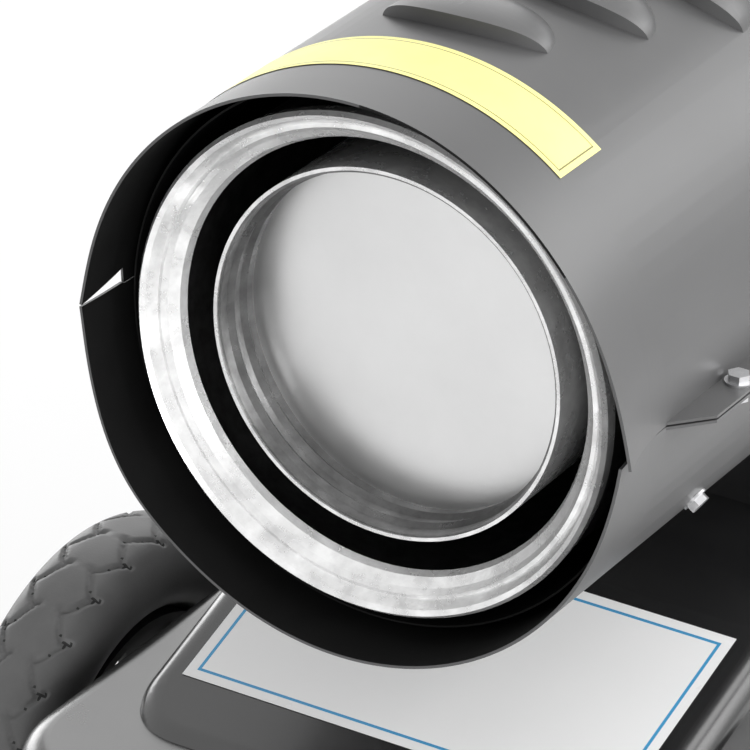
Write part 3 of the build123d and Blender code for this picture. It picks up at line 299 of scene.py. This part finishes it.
# The front band of the upper (side 1) or lower (side -1) half shell, bent at its edge.
def sprung_band(side):
    band = round_piece("front_band", casing_r, 0, band_len, casing_sides)
    for y in band_cuts:
        cut((0, mouth_y + y, 0), (0, 1, 0))
    cut((0, 0, axis_z + side * half_seam), (0, 0, side), clear_inner=True)
    for point in band.data.vertices:
        depth = point.co.y - mouth_y
        aim = atan2(point.co.z - axis_z, point.co.x)
        angle = abs(aim) * 180 / pi
        ease = max(0.0, 1 - depth / band_len) ** 2
        if side > 0:
            spring = top_flare * exp(-angle / top_flare_fade)
            spring -= top_dip * exp(-(((angle - top_dip_at) / top_dip_fade) ** 2))
        else:
            spring = low_flare * exp(-angle / low_flare_fade)
            spring += low_bulge * exp(-(((angle - low_bulge_at) / low_bulge_fade) ** 2))
        spring += slit_lift * exp(-(180 - angle) / slit_lift_fade)
        radius = casing_r + spring * ease
        point.co.x = radius * cos(aim)
        point.co.z = axis_z + radius * sin(aim)
        if depth <= slit_len + slit_step / 2:
            near_seam = max(0.0, 1 - (180 - angle) / slit_angle)
            if side > 0:
                opening = slit_mouth + slit_end * depth / slit_len
            else:
                opening = slit_rest * depth / slit_len
            point.co.z += opening * near_seam
    wall = band.modifiers.new("wall", "SOLIDIFY")
    wall.thickness = casing_sheet
    wall.offset = -1
    bpy.ops.object.modifier_apply(modifier="wall")
    return band


for side, node, name in ((1, "upper_shell", "upper_casing"), (-1, "lower_shell", "lower_casing")):
    band = sprung_band(side)
    rest = copy_of(node)
    cut((0, mouth_y + band_len, 0), (0, 1, 0), clear_inner=True)
    for point in rest.data.vertices:
        if abs(point.co.x) > flange_x and point.co.y < mouth_y + flange_front:
            point.co.y += flange_ramp
    band.select_set(True)
    bpy.ops.object.join()
    casing = bpy.context.object
    casing.name = name
    casing.data.materials.clear()
    casing.data.materials.append(casing_paint)
    casing.data.materials.append(inside_black)
    for face in casing.data.polygons:
        out = Vector((face.center.x, 0, face.center.z - axis_z))
        skin_r = skin_r_front if face.center.y < mouth_y + band_len else skin_r_behind
        inside = face.normal.dot(out) < 0 and out.length < skin_r
        face.material_index = 1 if inside else 0
    bpy.ops.object.shade_smooth_by_angle(angle=radians(30))
    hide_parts(node)
    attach(casing, "heater")

# A plain yellow film strip is stuck round the front of the casing, with a dark line
# near its edges and its right-hand end. Angles count from the right-hand seam.
strip_lift = 0.00035
strip_sides = 360
strip_front = 0.032
strip_back = 0.063
strip_start = 52.5
strip_stop = 135
front_line = (0.0345, 0.035)
back_line = (0.06, 0.0605)
end_line = (53.7, 54.0)
strip_yellow = finish("strip_yellow", (0.9, 0.85, 0.3), (0.87, 0.81, 0.27), 0, 0.45, 0.55, 30, 600)
strip_edge = finish("strip_edge", (0.12, 0.11, 0.02), (0.16, 0.14, 0.03), 0, 0.35, 0.45)
strip = round_piece("film_strip", casing_r + strip_lift, strip_front, strip_back, strip_sides)
for y in front_line + back_line:
    cut((0, mouth_y + y, 0), (0, 1, 0))
for angle, sense, trims in (
    (strip_start, 1, True),
    (end_line[0], 1, False),
    (end_line[1], 1, False),
    (strip_stop, -1, True),
):
    aim = Vector((-sin(radians(angle)), 0, cos(radians(angle)))) * sense
    cut((0, 0, axis_z), aim, clear_inner=trims)
strip.data.materials.append(strip_yellow)
strip.data.materials.append(strip_edge)
for face in strip.data.polygons:
    depth = face.center.y - mouth_y
    angle = atan2(face.center.z - axis_z, face.center.x) * 180 / pi
    on_long_line = front_line[0] < depth < front_line[1] or back_line[0] < depth < back_line[1]
    on_end_line = end_line[0] < angle < end_line[1]
    inside = front_line[0] < depth < back_line[1] and angle > end_line[0]
    face.material_index = 1 if inside and (on_long_line or on_end_line) else 0
bpy.ops.object.shade_smooth()
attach(strip, "heater")

# A blank white card lies on the slope of the tank, with a blue line round it inside
# a white margin.
card_w = 0.2
card_len = 0.105
card_margin = 0.0045
card_line_w = 0.0014
card_up_slope = 0.0845
card_aside = -0.001
card_lift = 0.0003
line_reach = (0.985, 1.003)
line_area = 0.0005
slope_low = Vector((0, mouth_y + 0.019, axis_z - 0.192))
slope_high = Vector((0, mouth_y + 0.156, axis_z - 0.147))
uphill = (slope_high - slope_low).normalized()
card_paper = finish("card_paper", (0.95, 0.95, 0.95), (0.97, 0.97, 0.97), 0, 0.25, 0.4, 12, 700)
card_line = finish("card_line", (0.05, 0.33, 0.62), (0.06, 0.36, 0.66), 0, 0.3, 0.4)
card_middle = slope_low + uphill * card_up_slope + Vector((card_aside, 0, 0))
bpy.ops.object.select_all(action="DESELECT")
bpy.ops.mesh.primitive_plane_add(size=1, location=card_middle, rotation=(atan2(uphill.z, uphill.y), 0, 0))
card = bpy.context.object
card.name = "blank_card"
card.scale = (card_w, card_len, 1)
bpy.ops.object.transform_apply(location=True, rotation=True, scale=True)
card.data.materials.append(card_paper)
card.data.materials.append(card_line)
bpy.ops.object.mode_set(mode="EDIT")
bpy.ops.mesh.select_all(action="SELECT")
bpy.ops.mesh.inset(thickness=card_margin)
bpy.ops.mesh.inset(thickness=card_line_w)
bpy.ops.object.mode_set(mode="OBJECT")
for face in card.data.polygons:
    reach_across = abs(face.center.x - card_middle.x) / (card_w / 2 - card_margin)
    reach_uphill = abs((face.center - card_middle).dot(uphill)) / (card_len / 2 - card_margin)
    on_line = line_reach[0] < max(reach_across, reach_uphill) < line_reach[1]
    face.material_index = 1 if on_line and face.area < line_area else 0
rise = uphill.cross(Vector((-1, 0, 0))).normalized()
if rise.z < 0:
    rise = -rise
for point in card.data.vertices:
    point.co += rise * card_lift
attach(card, "heater")

# Inside the mouth: a matt black sleeve, a liner whose dark colour is painted shade, the bright rolled ring
# and the closed front of the drum, a pale disc with darker walls round it.
disc_edge = 0.0015
rolled_steel = finish(
    "rolled_steel", (0.95, 0.95, 0.95), (0.6, 0.6, 0.6), 0.6, 0.16, 0.34, 70, 420, 0.00008
)
# Dark steel for the liner, supports, spacers, rear plate and tubes: its dark colour is painted shade inside
# the mouth.
shade_darkened_steel = finish(
    "shade_darkened_steel", (0.05, 0.05, 0.05), (0.014, 0.013, 0.013), 0.6, 0.4, 0.6, 90, 500, 0.00006
)
pale_steel = finish("pale_steel", (0.82, 0.82, 0.82), (0.76, 0.76, 0.76), 1, 0.3, 0.4, 8, 700, 0.00003)
drum_steel = finish("drum_steel", (0.22, 0.22, 0.22), (0.1, 0.1, 0.1), 1, 0.22, 0.4, 60, 420, 0.00006)
coat(inside_black, "inner_sleeve")
coat(shade_darkened_steel, "air_liner", "drum_supports", "casing_spacers", "rear_plate", "flame_tube", "blast_tube")
coat(rolled_steel, "front_ring", "exchanger_drum", "flue_pipe")
coat(pale_steel, "chamber_front", "diffuser")
nodes["chamber_front"].data.materials.append(drum_steel)
disc_y = max(point.co.y for point in nodes["chamber_front"].data.vertices) - disc_edge
for face in nodes["chamber_front"].data.polygons:
    face.material_index = 0 if face.center.y > disc_y else 1

# The tank, its fittings and the frame parts are pressed and bent steel in black enamel.
black_enamel = finish(
    "black_enamel", (0.01, 0.01, 0.0105), (0.014, 0.014, 0.014), 0, 0.2, 0.28, 14, 1300, 0.00002, 1.0
)
coat(black_enamel, "tank_upper", "tank_lower", "filler_neck", "front_saddle", "control_box")
coat(black_enamel, "handle_tube", "rear_stand", "axle_brackets")
coat(casing_paint, "flue_collar")

# Zinc-plated screws, clips, guard and shafts; cast aluminium fan and pump; brass lines.
zinc = finish("zinc_plate", (0.62, 0.62, 0.63), (0.48, 0.48, 0.49), 1, 0.25, 0.42, 160, 900, 0.00003)
coat(zinc, "flanged_screws", "handle_clips", "rear_guard", "axle", "axle_fittings", "drain_plug")
coat(zinc, "motor_shaft", "motor_bracket", "burner_spider")
cast_metal = finish("cast_metal", (0.68, 0.68, 0.7), (0.55, 0.55, 0.57), 1, 0.4, 0.55, 60, 700, 0.0001)
coat(cast_metal, "fan", "fuel_pump")
drawn_brass = finish("drawn_brass", (0.75, 0.55, 0.26), (0.6, 0.42, 0.2), 1, 0.25, 0.4, 80, 900)
coat(drawn_brass, "suction_pipe", "nozzle_line", "nozzle_holder")
motor_enamel = finish(
    "motor_enamel", (0.06, 0.062, 0.065), (0.08, 0.08, 0.085), 0, 0.4, 0.55, 40, 600, 0.00008
)
coat(motor_enamel, "motor")
glazed = finish("glazed_ceramic", (0.8, 0.78, 0.72), (0.72, 0.7, 0.64), 0, 0.12, 0.2)
coat(glazed, "electrodes")

# Moulded plastic and rubber: cap, panel, switch, knob, lamp, gland, grips and feet.
moulded = finish(
    "moulded_plastic", (0.02, 0.02, 0.02), (0.028, 0.028, 0.028), 0, 0.42, 0.55, 50, 1400, 0.00006
)
coat(moulded, "filler_cap", "control_panel", "switch_frame", "thermostat", "thermostat_knob", "power_gland")
coat(moulded, "ignition_transformer", "control_unit", "solenoid_valve", "photocell")
red_moulding = finish("red_moulding", (0.5, 0.02, 0.015), (0.42, 0.02, 0.015), 0, 0.2, 0.3)
coat(red_moulding, "switch_rocker", "reset_button")
amber_moulding = finish("amber_moulding", (0.75, 0.3, 0.03), (0.65, 0.24, 0.03), 0, 0.1, 0.2)
coat(amber_moulding, "indicator_lamp")
soft_rubber = finish(
    "soft_rubber", (0.016, 0.016, 0.016), (0.026, 0.026, 0.026), 0, 0.62, 0.8, 60, 1100, 0.0001
)
coat(soft_rubber, "handle_grips", "rubber_feet")
rim_moulding = finish(
    "rim_moulding", (0.02, 0.02, 0.021), (0.03, 0.03, 0.03), 0, 0.4, 0.55, 40, 1200, 0.00006
)
coat(rim_moulding, "rim_left", "rim_right", "hub_cap_left", "hub_cap_right")

# Solid rubber tyres with rounded shoulders. On each side of the crown a hooked groove
# winds round the tyre, and its floor is painted dark as shade in the groove.
wheel_centre = Vector((0, mouth_y + 0.118, 0.108))
tyre_x = 0.18
tyre_half_w = 0.0219
tyre_middle_r = 0.089
tyre_half_h = 0.019
tyre_points = 100
shoulder_wide = 0.72
shoulder_tall = 0.8
tread_r = 0.097
tyre_rubber = finish(
    "tyre_rubber", (0.1, 0.1, 0.1), (0.125, 0.125, 0.125), 0, 0.42, 0.55, 45, 1000, 0.00006
)
# Near-black rubber for the groove floor: painted shade in the groove.
groove_shade_rubber = finish("groove_shade_rubber", (0.008, 0.008, 0.008), (0.012, 0.012, 0.012), 0, 0.6, 0.8, 45, 1000)

# One hook of the groove as points: how far along the tread, and how far from the crown.
# The line starts before the hook and ends after it, so that hooks join.
hooks = 27
steps_per_hook = 22
points_per_hook = 48
groove_depth = 0.0016
groove_half_w = 0.0012
groove_x = 0.0105
hook_swing = 0.0058
hook_lean = 0.13
hook_lean_start = 0.6
hook_len = 2 * pi * 0.106 / hooks
hook_line = []
for t in range(-points_per_hook // 4, points_per_hook * 5 // 4):
    lean = hook_lean * sin(4 * pi * t / points_per_hook + hook_lean_start)
    swing = hook_swing * sin(2 * pi * t / points_per_hook)
    hook_line.append((hook_len * (t / points_per_hook + lean), groove_x + swing))
dark_share = 0.45
places_per_metre = 5000
depths = {}


# How deep the groove is at a step round the tyre and a distance across its crown.
def groove_at(step, across):
    key = (step % steps_per_hook, round(across * places_per_metre))
    if key not in depths:
        along = key[0] * hook_len / steps_per_hook
        gap = min((along - u) ** 2 + (abs(across) - v) ** 2 for u, v in hook_line) ** 0.5
        depths[key] = groove_depth * max(0.0, 1 - (gap / groove_half_w) ** 3)
    return depths[key]


for side, name in ((-1, "left"), (1, "right")):
    bpy.ops.object.select_all(action="DESELECT")
    bpy.ops.mesh.primitive_circle_add(vertices=tyre_points, radius=1, location=(0, 0, 0))
    tyre = bpy.context.object
    tyre.name = "tyre_tread_" + name
    for point in tyre.data.vertices:
        wide = abs(point.co.x) ** shoulder_wide * (1 if point.co.x > 0 else -1)
        tall = abs(point.co.y) ** shoulder_tall * (1 if point.co.y > 0 else -1)
        tyre_z = wheel_centre.z + tyre_middle_r + tall * tyre_half_h
        point.co = Vector((side * tyre_x + wide * tyre_half_w, wheel_centre.y, tyre_z))
    bpy.ops.object.mode_set(mode="EDIT")
    bpy.ops.mesh.select_all(action="SELECT")
    bpy.ops.mesh.spin(steps=hooks * steps_per_hook, angle=2 * pi, center=wheel_centre, axis=(1, 0, 0))
    bpy.ops.mesh.select_all(action="SELECT")
    bpy.ops.mesh.remove_doubles(threshold=0.00001)
    bpy.ops.mesh.normals_make_consistent(inside=False)
    bpy.ops.object.mode_set(mode="OBJECT")
    tyre.data.materials.append(tyre_rubber)
    tyre.data.materials.append(groove_shade_rubber)
    sunk = set()
    for point in tyre.data.vertices:
        out = Vector((0, point.co.y - wheel_centre.y, point.co.z - wheel_centre.z))
        if out.length > tread_r:
            step = round(atan2(out.z, out.y) / (2 * pi) * hooks * steps_per_hook)
            depth = groove_at(step, point.co.x - side * tyre_x)
            point.co -= out.normalized() * depth
            if depth > groove_depth * dark_share:
                sunk.add(point.index)
    # Faces sunk deep into the groove get the painted groove shade.
    for face in tyre.data.polygons:
        face.material_index = 1 if all(corner in sunk for corner in face.vertices) else 0
    bpy.ops.object.shade_smooth()
    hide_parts("tyre_" + name)
    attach(tyre, "wheel_" + name)
